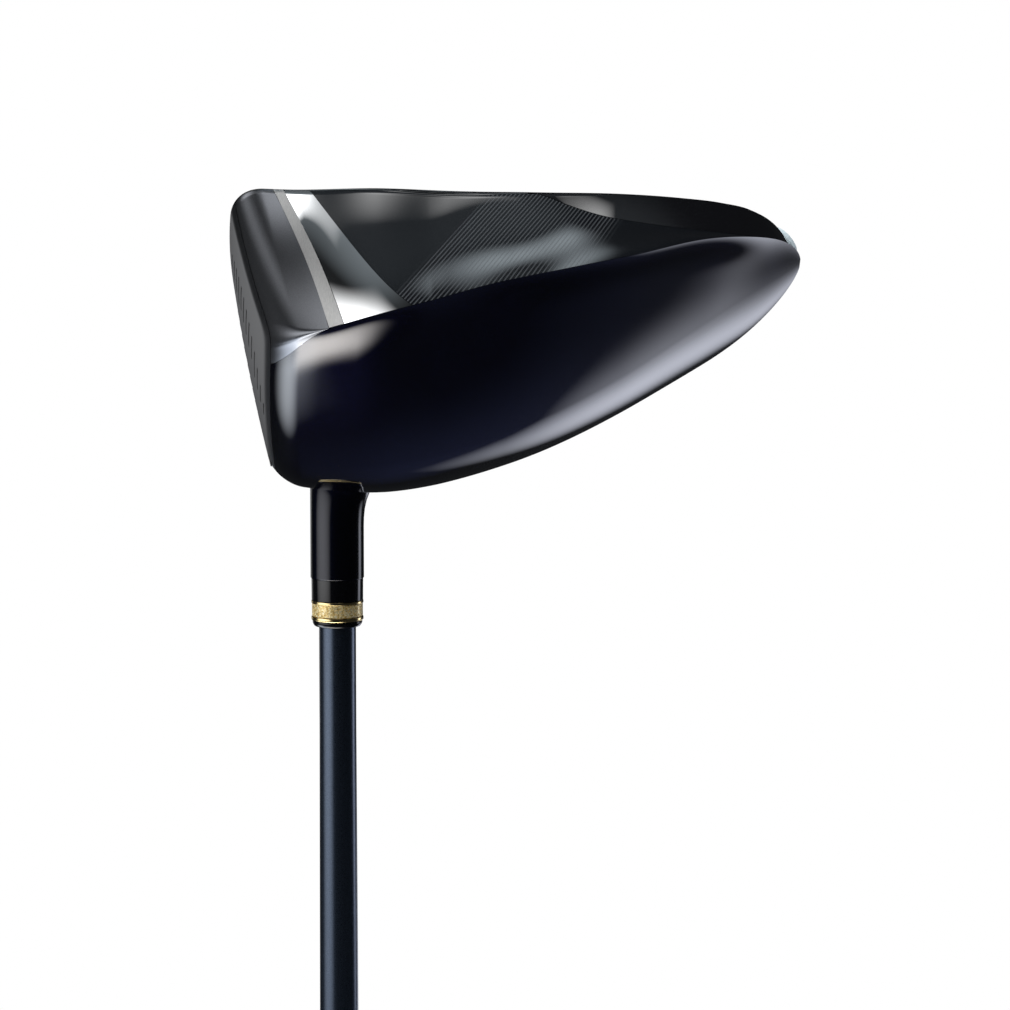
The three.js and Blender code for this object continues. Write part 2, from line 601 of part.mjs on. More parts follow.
add('shaft', turned([[TIP_BORE, SHAFT_TIP], [TIP_RADIUS - 0.3, SHAFT_TIP], [TIP_RADIUS, SHAFT_TIP + 0.5],
  [TIP_RADIUS, TAPER_START], [shaftRadius(500), 500], [BUTT_RADIUS, taperEnd], [BUTT_BORE, taperEnd],
  [TIP_BORE, 60], [TIP_BORE, SHAFT_TIP]]), 0x1b2130, { metalness: 0.7, roughness: 0.3 });
add('tip_plug', turned([[0, 19], [TIP_BORE - GAP, 19], [TIP_BORE - GAP, 29], [0, 29]], 24), 0xc8b48a, {});
add('hosel_plug', turned([[0, HOSEL_BOTTOM + 0.4], [HOSEL_BORE - GAP, HOSEL_BOTTOM + 0.4],
  [HOSEL_BORE - GAP, HOSEL_BOTTOM + 3.4], [0, HOSEL_BOTTOM + 3.4]], 24), 0x5a5c60, {});

const TAPE = 0.25;
const gripMouth = CLUB_LENGTH - GRIP_LENGTH;
const gripEnd = CLUB_LENGTH - 4.2;
add('under_tape', turned([[shaftRadius(gripMouth + 2) + GAP, gripMouth + 2], [shaftRadius(gripEnd) + GAP, gripEnd - 1],
  [shaftRadius(gripEnd) + GAP + TAPE, gripEnd - 1], [shaftRadius(gripMouth + 2) + GAP + TAPE, gripMouth + 2],
  [shaftRadius(gripMouth + 2) + GAP, gripMouth + 2]], 32), 0xd9cfae, {});

// Grip wall outside the tape: swells towards the butt, with a rolled mouth
const gripOutside = [[8.6, 0], [9.0, 0.8], [9.1, 2.5], [8.8, 4], [8.9, 20], [9.6, 80], [10.4, 140], [11.5, 200], [12.6, 245],
  [13.2, 258], [13.35, 263.8]];
const gripInside = (distance) => shaftRadius(distance) + 2 * GAP + TAPE;
add('grip_sleeve', turned([[gripInside(gripMouth), gripMouth], ...gripOutside.map(([r, d]) => [r, gripMouth + d]),
  [gripInside(gripMouth + 263.8), gripMouth + 263.8], [gripInside(gripMouth), gripMouth]]), 0x15161a,
{ metalness: 0, roughness: 0.8 });
add('grip_cap', lathe([[1.1, 0], [11.6, 0], [12.6, 0.4], [13.2, 1.4], [13.35, 2.6], [13.35, 3.9], [6.3, 3.9], [6.3, 10],
  [1.1, 10], [1.1, 0]], 32), 0x15161a, { metalness: 0, roughness: 0.7 });

export default root;
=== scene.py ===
import math

import bmesh
import bpy
import numpy as np
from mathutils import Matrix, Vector


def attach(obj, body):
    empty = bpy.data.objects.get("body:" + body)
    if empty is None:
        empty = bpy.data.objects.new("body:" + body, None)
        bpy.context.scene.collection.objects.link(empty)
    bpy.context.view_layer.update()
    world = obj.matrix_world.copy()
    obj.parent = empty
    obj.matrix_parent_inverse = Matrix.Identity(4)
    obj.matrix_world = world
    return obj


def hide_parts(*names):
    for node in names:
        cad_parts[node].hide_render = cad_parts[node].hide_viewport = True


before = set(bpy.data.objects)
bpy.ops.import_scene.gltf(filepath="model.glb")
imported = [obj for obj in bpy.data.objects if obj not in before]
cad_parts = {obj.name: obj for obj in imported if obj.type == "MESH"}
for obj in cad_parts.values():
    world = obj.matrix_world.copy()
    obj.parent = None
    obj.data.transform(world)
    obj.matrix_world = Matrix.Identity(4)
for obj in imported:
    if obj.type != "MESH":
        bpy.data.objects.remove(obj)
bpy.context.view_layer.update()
MM = 0.001

# ---------------------------------------------------------------- dimensions, millimetres
# Head axes: u from heel to toe, t forwards from the shaft's axis (a "station"), h up from the ground.
# A "girth share" runs from 0 to 1 round one part of a station's outline.
CLUB = 1162.0                   # butt end to the point where the shaft's axis meets the ground
LIE = math.radians(59.5)
LOFT = math.radians(12)
BULGE, ROLL = 340.0, 420.0
LEAD, TRAIL, WIDEST = 21.8, -102.8, -22.0
HALF_WIDTH, MIDDLE = 62.5, 45.5
FRONT_TAPER = 71.0              # distance ahead of the widest station at which the width would reach zero
FACE_U, FACE_H, FACE_T = 48.0, 28.0, 17.1
EDGE_DEPTH, EDGE_INSET = 8.0, 5.8
HEEL_SWELL = 5.5
POWER_TOE, POWER_HEEL = 2.3, 1.75
BROW_FRONT, BROW_REAR, BROW_REACH = 1.5, 0.7, 7.0
WRAP = 10.0                     # how far the face metal runs over the toe edge, at the face
WRAP_SHARE = 0.12               # share of the toe front's height given to that wrap
FOOT_ROUND = 3.6
FOOT_DROP = 0.9
SKIN_END = -100.8
HAIR = 0.12                     # visible joint between two pieces of trim
SEAM = LEAD - 1.0               # station of the joint between the face and the rest of the head
RIDGE, FOOT, TRIM = 0.22, 0.5, 0.75
LINE_PITCH = 0.92               # spacing of the fine lines on the toe panel
LINED = (-1.2300, -1.0105)      # where the lined field starts and ends, in metres of its slanted coordinates
FACE_WALL = 2.2
FACE_RIM = 0.9
HEAD_MIDDLE = np.array([50.0, -35.0, 24.0])
SCORE_ROWS, SCORE_LOW, SCORE_PITCH = 13, 11.0, 2.9
HOSEL_RADIUS, FERRULE_BORE = 6.15, 4.4
HOSEL_FLARE = [(6.15, 43), (6.18, 41), (6.28, 39), (6.5, 37), (6.85, 35.2), (7.4, 33.7), (8.2, 32.4),
               (9.2, 31.4)]     # radius and distance down the shaft
TIP, BUTT, TAPER_FROM = 4.25, 7.6, 90.0
SHAFT_END = 4.4                 # the shaft stops this far short of the butt
GRIP_LENGTH, GRIP_CLEARANCE = 268, 0.85
GROOVES, GROOVE_PITCH = 10, 4.0
FLOOR_SIZE = 3.0                # metres

# each outline is a list of (station, size) pairs from the tail to the face
CROWN_HEIGHT = [(-102.8, 7.6), (-99, 10), (-94, 12.9), (-81, 21.2), (-64, 32.2), (-46, 41.6), (-28, 47.9),
                (-10, 51.7), (8, 52.2), (21, 51.8)]
TOE_RIDGE = [(-102.8, 7.6), (-92, 14.5), (-80, 21), (-66, 28.6), (-52, 34.1), (-37, 38.7), (-20, 43.4),
             (-6, 46), (8, 47.3), (21, 46.5)]
HEEL_RIDGE = [(-102.8, 7.6), (-92, 10.6), (-80, 12.9), (-66, 15), (-52, 17.2), (-37, 19.4), (-20, 21.1),
              (-6, 22.7), (8, 23.8), (21, 24.8)]
SOLE_TOE_EDGE = [(-102.8, 54), (-97, 66), (-91, 71), (-85, 73.5), (-76, 75.3), (-63, 77), (-46, 78),
                 (-30, 79), (-12, 80.3), (8, 79.5), (21, 80.8)]
SOLE_HEEL_EDGE = [(-102.8, 54), (-97, 44), (-91, 36), (-85, 30), (-76, 23), (-63, 15), (-46, 7), (-30, 1),
                  (-12, -2), (8, 3), (21, 13)]
SOLE_EDGE_HEIGHT = [(-102.8, 7.6), (-97, 4.8), (-91, 3.3), (-85, 3), (-30, 3), (21, 3)]
SOLE_HEIGHT = [(-102.8, 7.6), (-97, 4.5), (-91, 2.5), (-85, 1.5), (-76, 0.8), (-63, 0.3), (-46, 0),
               (-12, 0), (8, 0.3), (21, 1)]
CREASE = [(-94, 0.02), (-91, 0.05), (-81, 0.3), (-70, 0.58), (-59, 0.78), (-43, 1), (21, 1)]
STRIP_FRONT, STRIP_REAR, INLAY_REAR, STRIP_BOW = (-2.7, 11), (-5.8, 8.7), (-19.7, 3), 0.9


# ---------------------------------------------------------------- the head's surface
def profile(stations, t):
    """Smooth curve through a list of (station, size) pairs."""
    xs = np.array([p[0] for p in stations], float)
    ys = np.array([p[1] for p in stations], float)
    x = np.clip(t, xs[0], xs[-1])
    slope = np.diff(ys) / np.diff(xs)
    step = np.diff(xs)
    tangent = np.empty_like(ys)
    tangent[0], tangent[-1] = slope[0], slope[-1]
    tangent[1:-1] = (slope[:-1] * step[1:] + slope[1:] * step[:-1]) / (step[1:] + step[:-1])
    i = np.clip(np.searchsorted(xs, x, side="right") - 1, 0, len(xs) - 2)
    s = (x - xs[i]) / step[i]
    return (ys[i] * (1 + 2 * s) * (1 - s) ** 2 + tangent[i] * step[i] * s * (1 - s) ** 2
            + ys[i + 1] * s * s * (3 - 2 * s) + tangent[i + 1] * step[i] * s * s * (s - 1))


def smooth(x, low, high):
    """Share from 0 to 1 that eases in at low and out at high."""
    f = np.clip((x - low) / (high - low), 0, 1)
    return f * f * (3 - 2 * f)


def face_station(u, h):
    """Station of the striking face, with its loft, bulge and roll."""
    return (FACE_T - (h - FACE_H) * math.tan(LOFT) - (u - FACE_U) ** 2 / (2 * BULGE)
            - (h - FACE_H) ** 2 / (2 * ROLL))


def hollow(t, s):
    """Depth of the hollow in the toe side: the panel above its crease, the rail below."""
    crease = profile(CREASE, t)
    rear = smooth(-t, 40, 62)
    front = 2.6 * smooth(-t, -6, 26) * (1 - 0.35 * rear)
    valley = 2.8 * rear * crease
    w = np.clip(s / crease, 0, 1)
    panel = (1 - rear) * front * np.sin(np.pi * w) + valley * np.sin(np.pi * w / 2) ** 2
    rail = valley * (1 - np.clip((s - crease) / np.maximum(1 - crease, 1e-6), 0, 1))
    return np.where(s <= crease, panel, rail)


def brow(t):
    """How far the crown swells just inside its toe edge."""
    return BROW_FRONT * smooth(t, -24, -2) + BROW_REAR * smooth(-t, 30, 52) * smooth(t, -96, -84)


def foot_drop(t):
    """Extra depth of the toe's foot, which its rounding takes away again."""
    return FOOT_DROP * (0.25 + 0.75 * smooth(t, -80, -35))


def from_widest(t):
    """Shares of the way from the widest station to the tail, and ahead of it."""
    return np.maximum(0, (WIDEST - t) / (WIDEST - TRAIL)), np.maximum(0, (t - WIDEST) / FRONT_TAPER)


def half_width(t):
    behind, ahead = from_widest(t)
    return HALF_WIDTH * np.maximum(0, 1 - behind ** 2.1) ** 0.6 * np.sqrt(1 - ahead ** 2)


def section(t, part, s):
    """Head axes u and h at a station, for a share s round one part of the girth."""
    t, s = np.broadcast_arrays(np.asarray(t, float), np.asarray(s, float))
    behind, ahead = from_widest(t)
    width = half_width(t)
    middle = MIDDLE + 8.5 * behind ** 1.5 + 2 * ahead
    toe_h, heel_h = profile(TOE_RIDGE, t), profile(HEEL_RIDGE, t)
    top, floor = profile(CROWN_HEIGHT, t), profile(SOLE_HEIGHT, t)
    edge = profile(SOLE_EDGE_HEIGHT, t)
    if part == "crown":
        c = np.cos(np.pi * s)
        ridge = heel_h + (toe_h - heel_h) * (c + 1) / 2
        u = middle + width * c
        h = ridge + (top - ridge) * (1 - np.abs(c) ** np.where(c < 0, POWER_HEEL, POWER_TOE))
        h = h + brow(t) * (1 - np.exp(-(width * (1 - c) / BROW_REACH) ** 2)) * smooth(c, -0.1, 0.8)
    elif part == "sole":
        a, b = profile(SOLE_TOE_EDGE, t), profile(SOLE_HEEL_EDGE, t)
        u = a + (b - a) * s
        h = edge + (floor - edge) * (1 - (2 * s - 1) ** 2) - foot_drop(t) * (1 - s) ** 4
    else:
        toe = part == "toe"
        ru, rh = (middle + width, toe_h) if toe else (middle - width, heel_h)
        du = profile(SOLE_TOE_EDGE if toe else SOLE_HEEL_EDGE, t) - ru
        dh = edge - (foot_drop(t) if toe else 0) - rh
        size = np.maximum(1, np.hypot(du, dh))
        if toe:
            depth = hollow(t, s)
        else:
            swell = HEEL_SWELL * smooth(t, -55, -12) * np.sin(np.pi * s)
            depth = 0.5 * hollow(t, s) * smooth(-t, 20, 60) - swell
        side = 1 if toe else -1
        u = ru + du * s + side * depth * dh / size
        h = rh + dh * s - side * depth * du / size
    near = np.clip((EDGE_DEPTH - (LEAD - t)) / EDGE_DEPTH, 0, 1)
    inset = EDGE_INSET * (1 - np.sqrt(1 - near ** 2))
    centre = (top + floor) / 2
    u = middle + (u - middle) * (1 - inset / np.maximum(width, 20))
    h = centre + (h - centre) * (1 - inset / np.maximum((top - floor) / 2, 10))
    return u, h


def raw_point(t, part, s):
    u, h = section(t, part, s)
    t = np.broadcast_to(np.asarray(t, float), u.shape)
    wrap = np.clip(1 - (LEAD - t) / 60, 0, 1) ** 1.5
    return np.stack([u, t + wrap * (face_station(u, h) - LEAD), h], -1)


def skirt_length(t, part):
    (u0, h0), (u1, h1) = section(t, part, 0.0), section(t, part, 1.0)
    return np.hypot(u1 - u0, h1 - h0)


def ridge_station(wanted):
    """Station whose toe edge lies at the wanted depth."""
    low, high = TRAIL, LEAD
    for _ in range(26):
        mid = (low + high) / 2
        low, high = (mid, high) if raw_point(mid, "toe", 0.0)[..., 1] < wanted else (low, mid)
    return low


WRAP_FROM = ridge_station(STRIP_FRONT[0])


def wrap_reach(t):
    """How far the face metal runs over the toe edge onto the crown, millimetres."""
    return WRAP * (np.maximum(0, t - WRAP_FROM) / (20.8 - WRAP_FROM)) ** 1.35


def toe_path(t, v):
    """Toe side by distance v from its upper edge: above 0 on the crown, below 0 down the side."""
    t, v = np.broadcast_arrays(np.asarray(t, float), np.asarray(v, float))
    length = np.maximum(skirt_length(t, "toe"), 0.5)
    width = np.maximum(half_width(t), 0.5)
    span = np.maximum(profile(SOLE_TOE_EDGE, t) - profile(SOLE_HEEL_EDGE, t), 0.5)

    def straight(v):
        out = np.empty(v.shape + (3,))
        on_crown, on_sole = v > 0, v < -length
        on_skirt = ~(on_crown | on_sole)
        over_crown = np.arccos(np.clip(1 - v / width, -1, 1)) / np.pi
        for mask, part, share in ((on_crown, "crown", over_crown), (on_skirt, "toe", -v / length),
                                  (on_sole, "sole", (-v - length) / span)):
            if mask.any():
                out[mask] = raw_point(t[mask], part, np.clip(share[mask], 0, 1))
        return out

    upper = wrap_reach(t) / 1.6
    lower = FOOT_ROUND * (0.25 + 0.75 * smooth(t, -80, -35))
    near_top = np.clip(1.6 * upper - np.abs(v), 0, upper)
    near_foot = np.clip(1.6 * lower - np.abs(v + length), 0, lower)
    radius = np.maximum(near_top, near_foot)
    total, out = 0.0, 0.0
    for k in np.linspace(-0.9, 0.9, 9):
        weight = 1 - k * k
        out = out + weight * straight(v + radius * k)
        total += weight
    return out / total


def head_point(t, part, s):
    t, s = np.broadcast_arrays(np.asarray(t, float), np.asarray(s, float))
    if part == "toe":
        return toe_path(t, -s * np.maximum(skirt_length(t, "toe"), 0.5))
    p = raw_point(t, part, s)
    if part == "sole":
        span = np.maximum(profile(SOLE_TOE_EDGE, t) - profile(SOLE_HEEL_EDGE, t), 0.5)
        near = s * span < 2 * FOOT_ROUND
        if near.any():
            p[near] = toe_path(t[near], (-skirt_length(t, "toe") - s * span)[near])
    return p


def station_for(part, s, wanted):
    """Station at which each girth share lies at the wanted depth."""
    low = np.full(np.shape(s), TRAIL)
    high = np.full(np.shape(s), LEAD)
    for _ in range(26):
        mid = (low + high) / 2
        behind = head_point(mid, part, s)[..., 1] < wanted
        low, high = np.where(behind, mid, low), np.where(behind, high, mid)
    return (low + high) / 2


def trim_line(part, w, ends, bow=STRIP_BOW):
    """Bowed line across a side of the head, between the given depths at its top and foot."""
    return station_for(part, w, ends[0] + (ends[1] - ends[0]) * w - bow * np.sin(np.pi * w))


def to_club(p):
    """Head axes (u heel to toe, t forwards, h up) in millimetres to the club's frame in metres."""
    u, t, h = p[..., 0], p[..., 1], p[..., 2]
    y = -math.sin(LIE) * u - math.cos(LIE) * h
    z = CLUB + math.cos(LIE) * u - math.sin(LIE) * h
    return np.stack([-t, y, z], -1) * MM


# ---------------------------------------------------------------- making pieces
def new_object(name, verts, faces, material, body="club", replaces=(), slot=None):
    mesh = bpy.data.meshes.new(name)
    mesh.from_pydata([tuple(v) for v in verts], [], [tuple(f) for f in faces])
    mesh.validate()
    bm = bmesh.new()
    bm.from_mesh(mesh)
    bmesh.ops.recalc_face_normals(bm, faces=bm.faces)
    if bm.calc_volume(signed=True) < 0:
        bmesh.ops.reverse_faces(bm, faces=bm.faces)
    bm.to_mesh(mesh)
    bm.free()
    obj = bpy.data.objects.new(name, mesh)
    bpy.context.scene.collection.objects.link(obj)
    mesh.materials.append(material)
    mesh.polygons.foreach_set("use_smooth", [True] * len(mesh.polygons))
    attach(obj, body)
    if replaces:
        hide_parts(*replaces)
    return obj


def sharp_edges(obj, degrees=35):
    """Mark the edges that turn by more than the given angle as sharp."""
    mesh = obj.data
    bm = bmesh.new()
    bm.from_mesh(mesh)
    limit = math.radians(degrees)
    for e in bm.edges:
        e.smooth = not (len(e.link_faces) == 2 and e.calc_face_angle(0) > limit)
    bm.to_mesh(mesh)
    bm.free()


def bevel(obj, width, segments=2, degrees=40):
    mod = obj.modifiers.new("edge", "BEVEL")
    mod.width = width * MM
    mod.segments = segments
    mod.limit_method = "ANGLE"
    mod.angle_limit = math.radians(degrees)
    mod.harden_normals = True


def slab(name, outer, inner, material, **kw):
    """Closed piece between an outer and an inner grid of points."""
    rows, cols = outer.shape[:2]
    verts = np.concatenate([outer.reshape(-1, 3), inner.reshape(-1, 3)])
    off = rows * cols
    idx = np.arange(off).reshape(rows, cols)
    a, b, c, d = idx[:-1, :-1].ravel(), idx[1:, :-1].ravel(), idx[1:, 1:].ravel(), idx[:-1, 1:].ravel()
    faces = list(zip(a, b, c, d)) + list(zip(d + off, c + off, b + off, a + off))
    for line in (idx[0], idx[-1][::-1], idx[:, -1], idx[:, 0][::-1]):
        faces += [(p, q, q + off, p + off) for p, q in zip(line[:-1], line[1:])]
    obj = new_object(name, verts, faces, material, **kw)
    sharp_edges(obj)
    return obj


def outward(p):
    """Unit normals of a grid of head points, turned to point out of the head."""
    n = np.cross(np.gradient(p, axis=1), np.gradient(p, axis=0))
    n = n / np.maximum(np.linalg.norm(n, axis=-1, keepdims=True), 1e-9)
    rows, cols = p.shape[0] // 2, p.shape[1] // 2
    return n if np.dot(n[rows, cols], p[rows, cols] - HEAD_MIDDLE) > 0 else -n


def drawn_in(p, reach=1.2):
    """Grid with its edges drawn in, so that a piece's walls don't show past a sharp corner of the head."""
    for _ in range(2):
        steps = np.linalg.norm(np.diff(p, axis=1), axis=2)
        arc = np.concatenate([np.zeros((p.shape[0], 1)), np.cumsum(steps, axis=1)], 1)
        q = np.empty_like(p)
        for i, a in enumerate(arc):
            a = a + np.arange(len(a)) * 1e-9
            near = min(reach, 0.3 * a[-1])
            inside = np.clip(a, near, a[-1] - near)
            wanted = inside + 0.03 * (a - inside)
            q[i] = np.stack([np.interp(wanted, a, p[i, :, k]) for k in range(3)], -1)
        p = q.swapaxes(0, 1)
    return p


def skin(name, p, material, wall=0.9, sink=0.0, edge=0.1, **kw):
    """Thin plate with a grid of head points as its outside, sunk by sink and with its edges bevelled."""
    n = outward(p)
    obj = slab(name, to_club(p - n * sink), to_club(drawn_in(p - n * (sink + wall))), material, **kw)
    if edge:
        bevel(obj, edge)
    return obj


def spread(count, ends=0.5):
    """Shares from 0 to 1, closer together at both ends."""
    i = np.linspace(0, 1, count)
    return (1 - ends) * i + ends * (1 - np.cos(np.pi * i)) / 2


def patch(name, part, front, back, low, high, rows, cols, material, **kw):
    """Patch of the head: front and back give stations for girth shares, low and high shares for stations."""
    def call(f, x):
        return f(x) if callable(f) else np.full(np.shape(x), float(f))

    w = np.arccos(1 - 2 * np.linspace(0, 1, cols)) / np.pi if part == "crown" else spread(cols)
    t = call(front, w)[:, None] + (call(back, w) - call(front, w))[:, None] * spread(rows)[None, :]
    s = call(low, t) + (call(high, t) - call(low, t)) * w[:, None]
    return skin(name, head_point(t, part, s), material, **kw)


def turned(name, outline, material, segments=128, place=None, **kw):
    """Closed solid turned about the shaft's axis from (radius, height) pairs in millimetres."""
    ang = np.linspace(0, 2 * np.pi, segments, endpoint=False)
    verts = np.array([(r * math.cos(a), r * math.sin(a), z) for r, z in outline for a in ang], float)
    faces = []
    for k in range(len(outline)):
        a, b = k * segments, (k + 1) % len(outline) * segments
        for j in range(segments):
            m = (j + 1) % segments
            faces.append((a + j, a + m, b + m, b + j))
    obj = new_object(name, place(verts) if place else verts * MM, faces, material, **kw)
    sharp_edges(obj)
    return obj


def rounded(points, radius, steps=5):
    """Closed outline with its corners rounded."""
    out = []
    n = len(points)
    for i in range(n):
        a, b, c = (np.array(points[k % n], float) for k in (i - 1, i, i + 1))
        la, lc = np.linalg.norm(a - b), np.linalg.norm(c - b)
        r = min(radius, la * 0.45, lc * 0.45)
        p0, p1 = b + (a - b) / la * r, b + (c - b) / lc * r
        for k in range(steps + 1):
            f = k / steps
            out.append(tuple((1 - f) ** 2 * p0 + 2 * f * (1 - f) * b + f * f * p1))
    return out


# ---------------------------------------------------------------- materials
class Shader:
    """Principled material with its nodes placed in object coordinates."""

    def __init__(self, name):
        self.material = bpy.data.materials.new(name)
        self.material.use_nodes = True
        self.tree = self.material.node_tree
        self.bsdf = next(n for n in self.tree.nodes if n.type == "BSDF_PRINCIPLED")
        self.coords = self.tree.nodes.new("ShaderNodeTexCoord")

    def set(self, **values):
        for key, value in values.items():
            socket = self.bsdf.inputs[key.replace("_", " ")]
            socket.default_value = (*value, 1) if isinstance(value, tuple) else value

    def node(self, kind, **settings):
        node = self.tree.nodes.new(kind)
        for key, value in settings.items():
            setattr(node, key, value)
        return node

    def link(self, a, b):
        self.tree.links.new(a, b)

    def math(self, op, *values):
        node = self.node("ShaderNodeMath", operation=op)
        for i, v in enumerate(values):
            if isinstance(v, (int, float)):
                node.inputs[i].default_value = v
            else:
                self.link(v, node.inputs[i])
        return node.outputs[0]

    def mapping(self, scale):
        node = self.node("ShaderNodeMapping")
        node.inputs["Scale"].default_value = scale
        self.link(self.coords.outputs["Object"], node.inputs["Vector"])
        return node.outputs[0]

    def noise(self, scale, detail=2.0, rough=0.5, vector=None):
        node = self.node("ShaderNodeTexNoise")
        node.inputs["Scale"].default_value = scale
        node.inputs["Detail"].default_value = detail
        node.inputs["Roughness"].default_value = rough
        self.link(vector or self.coords.outputs["Object"], node.inputs["Vector"])
        return node.outputs["Fac"]

    def ramp(self, value, stops):
        node = self.node("ShaderNodeValToRGB")
        els = node.color_ramp.elements
        while len(els) < len(stops):
            els.new(0.5)
        for e, (pos, col) in zip(els, stops):
            e.position = pos
            e.color = (*col, 1)
        self.link(value, node.inputs["Fac"])
        return node.outputs["Color"]

    def between(self, value, low, high, start=0.0, stop=1.0):
        """Value carried from the range start to stop over to the range low to high."""
        node = self.node("ShaderNodeMapRange")
        node.inputs["From Min"].default_value = start
        node.inputs["From Max"].default_value = stop
        node.inputs["To Min"].default_value = low
        node.inputs["To Max"].default_value = high
        self.link(value, node.inputs["Value"])
        return node.outputs["Result"]

    def bump(self, height, strength, distance):
        node = self.node("ShaderNodeBump")
        node.inputs["Strength"].default_value = strength
        node.inputs["Distance"].default_value = distance
        self.link(height, node.inputs["Height"])
        self.link(node.outputs["Normal"], self.bsdf.inputs["Normal"])


def lacquer(name, base, flake, metallic=0.85, rough=0.42, coat_rough=0.02):
    """Clear coat over fine metal flake; the dark tint keeps glancing reflections from greying it."""
    m = Shader(name)
    m.set(Metallic=metallic, Coat_Weight=1.0, Coat_Roughness=coat_rough, Coat_IOR=1.5, Roughness=rough,
          Specular_Tint=(0.06, 0.07, 0.16), Specular_IOR_Level=0.1)
    grain = m.noise(9000, 2)
    m.link(m.ramp(grain, [(0.3, base), (0.75, flake)]), m.bsdf.inputs["Base Color"])
    return m.material


def satin_metal(name, dark, light, low=0.26, high=0.36, scale=5200, metallic=1.0):
    """Fine grain that runs from dark to light and from low to high roughness."""
    m = Shader(name)
    m.set(Metallic=metallic)
    grain = m.noise(scale, 3)
    m.link(m.ramp(grain, [(0.25, dark), (0.8, light)]), m.bsdf.inputs["Base Color"])
    m.link(m.between(grain, low, high), m.bsdf.inputs["Roughness"])
    m.bump(grain, 0.08, 0.00002)
    return m.material


def brushed(name, dark, light):
    """Metal brushed in fine streaks."""
    m = Shader(name)
    m.set(Metallic=1.0)
    grain = m.noise(1.0, 3, 0.6, m.mapping((9000, 700, 700)))
    fine = m.noise(1.0, 2, 0.6, m.mapping((26000, 2500, 2500)))
    both = m.math("ADD", m.math("MULTIPLY", grain, 0.6), m.math("MULTIPLY", fine, 0.4))
    m.link(m.ramp(both, [(0.3, dark), (0.7, light)]), m.bsdf.inputs["Base Color"])
    m.link(m.between(both, 0.34, 0.5), m.bsdf.inputs["Roughness"])
    m.bump(both, 0.25, 0.00003)
    return m.material


def mirror(name, tint=(0.93, 0.94, 0.95), rough=0.035):
    """Polished metal with a faint uneven haze."""
    m = Shader(name)
    m.set(Metallic=1.0, Base_Color=tint)
    haze = m.noise(900, 4)
    m.link(m.between(haze, rough * 0.8, rough * 1.3), m.bsdf.inputs["Roughness"])
    return m.material


NAVY = lacquer("crown_lacquer", (0.0006, 0.0008, 0.004), (0.003, 0.0045, 0.022), rough=0.36)
HOSEL = lacquer("hosel_lacquer", (0.0006, 0.0008, 0.004), (0.004, 0.006, 0.02), rough=0.4, coat_rough=0.13)
BLACK = lacquer("black_lacquer", (0.002, 0.002, 0.003), (0.007, 0.0075, 0.01), 0.6)
SATIN = satin_metal("satin_titanium", (0.14, 0.146, 0.162), (0.21, 0.219, 0.238))
BRUSHED = brushed("brushed_strip", (0.52, 0.52, 0.52), (0.78, 0.78, 0.77))
CHROME = mirror("mirror_inlay")
GOLD = mirror("polished_gold", (1.0, 0.8, 0.4), 0.16)


def lined_gloss():
    """Black gloss with fine slanting lines in a field between two slanting ends."""
    m = Shader("lined_gloss")
    m.set(Metallic=0.4, Coat_Weight=1.0, Coat_Roughness=0.04, Coat_IOR=1.5, Specular_Tint=(0.06, 0.07, 0.08),
          Specular_IOR_Level=0.05)
    sep = m.node("ShaderNodeSeparateXYZ")
    m.link(m.coords.outputs["Object"], sep.inputs[0])
    x, z = sep.outputs["X"], sep.outputs["Z"]
    across = m.math("SUBTRACT", x, z)
    wave = m.math("SINE", m.math("MULTIPLY", across, 2 * math.pi / (LINE_PITCH * MM)))
    line = m.between(wave, 0.0, 1.0, 0.1, 0.75)
    lead_slant = m.math("SUBTRACT", x, m.math("MULTIPLY", z, 1.055))
    tail_slant = m.math("SUBTRACT", x, m.math("MULTIPLY", z, 0.9))
    lead = m.between(lead_slant, 0, 1, LINED[0], LINED[0] + 0.0015)
    tail = m.between(tail_slant, 1, 0, LINED[1] - 0.004, LINED[1])
    amount = m.math("MULTIPLY", line, m.math("MULTIPLY", lead, tail))
    tone = m.ramp(amount, [(0.0, (0.003, 0.004, 0.006)), (1.0, (0.055, 0.06, 0.066))])
    m.link(tone, m.bsdf.inputs["Base Color"])
    m.link(m.between(amount, 0.3, 0.38), m.bsdf.inputs["Roughness"])
    m.link(m.between(amount, 1.0, 0.5), m.bsdf.inputs["Coat Weight"])
    return m.material


def glitter():
    """Gold flakes, each with its own tone, gloss and height."""
    m = Shader("gold_glitter")
    m.set(Metallic=0.4, Roughness=0.3)
    flake = m.node("ShaderNodeTexVoronoi")
    flake.inputs["Scale"].default_value = 3200
    m.link(m.coords.outputs["Object"], flake.inputs["Vector"])
    grey = m.node("ShaderNodeSeparateColor")
    m.link(flake.outputs["Color"], grey.inputs[0])
    tone = m.ramp(grey.outputs[0], [(0.0, (0.5, 0.33, 0.09)), (0.4, (0.95, 0.72, 0.3)),
                                    (1.0, (1.0, 0.92, 0.62))])
    m.link(tone, m.bsdf.inputs["Base Color"])
    m.link(m.between(grey.outputs[1], 0.15, 0.55), m.bsdf.inputs["Roughness"])
    m.bump(grey.outputs[2], 0.9, 0.00012)
    return m.material


def shaft_paint():
    """Dark blue metallic paint."""
    m = Shader("shaft_paint")
    m.set(Metallic=0.9, Coat_Weight=0.6, Coat_Roughness=0.16, Coat_IOR=1.45)
    grain = m.noise(7000, 2)
    tone = m.ramp(grain, [(0.3, (0.03, 0.045, 0.075)), (0.75, (0.085, 0.115, 0.17))])
    m.link(tone, m.bsdf.inputs["Base Color"])
    m.link(m.between(grain, 0.24, 0.34), m.bsdf.inputs["Roughness"])
    return m.material


